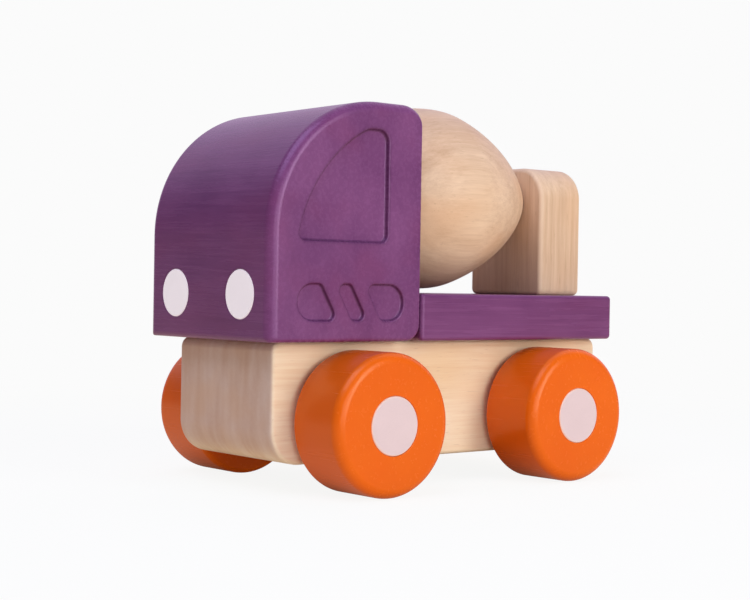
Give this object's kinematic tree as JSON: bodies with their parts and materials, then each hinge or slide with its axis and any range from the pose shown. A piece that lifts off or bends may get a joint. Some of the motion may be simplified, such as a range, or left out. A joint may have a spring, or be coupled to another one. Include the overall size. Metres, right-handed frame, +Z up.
{
  "type": "wooden toy cement mixer truck",
  "caption": "Wooden push-along toy cement mixer truck: curved cab, deck on a block chassis, wheels that roll on dowel axles, and a drum that turns between cab and post.",
  "frame": {"origin": "on the floor under the truck, midway along its length and on its middle plane", "axes": "+X points forward to the front of the cab, +Y to the truck's left, +Z up"},
  "size_m": [0.1344, 0.09, 0.1134],
  "materials": {
    "purple_stained_wood": "water-based purple stain under satin lacquer, with the grain just visible",
    "orange_stained_wood": "turned wood, opaque orange stain under satin lacquer",
    "natural_wood": "pale rubberwood, sanded smooth and waxed, with fine brown pores",
    "turned_natural_wood": "pale rubberwood, turned and sanded, waxed",
    "pale_disc": "thin wooden disc painted in a pale, slightly pink grey, satin"
  },
  "bodies": {
    "truck_body": {"chassis_block": "natural_wood", "cab_block": "purple_stained_wood", "deck_board": "purple_stained_wood", "drum_post": "natural_wood", "drum_spindle": "natural_wood", "headlight_left": "pale_disc", "headlight_right": "pale_disc", "cab_dowels": "natural_wood", "deck_dowels": "natural_wood", "post_dowels": "natural_wood"},
    "drum": {"mixer_drum": "turned_natural_wood"},
    "front_wheelset": {"front_axle": "natural_wood", "wheel_front_left": "orange_stained_wood", "wheel_front_right": "orange_stained_wood", "hub_cap_front_left": "pale_disc", "hub_cap_front_right": "pale_disc"},
    "rear_wheelset": {"rear_axle": "natural_wood", "wheel_rear_left": "orange_stained_wood", "wheel_rear_right": "orange_stained_wood", "hub_cap_rear_left": "pale_disc", "hub_cap_rear_right": "pale_disc"}
  },
  "joints": [
    {"name": "front_wheels_roll", "type": "hinge", "parent": "truck_body", "child": "front_wheelset", "pos_m": [0.03505, 0, 0.02], "axis": [0, 1, 0], "continuous": true},
    {"name": "rear_wheels_roll", "type": "hinge", "parent": "truck_body", "child": "rear_wheelset", "pos_m": [-0.03715, 0, 0.02], "axis": [0, 1, 0], "continuous": true},
    {"name": "drum_spin", "type": "hinge", "parent": "truck_body", "child": "drum", "pos_m": [-0.017, 0, 0.0854], "axis": [1, 0, 0], "continuous": true}
  ]
}
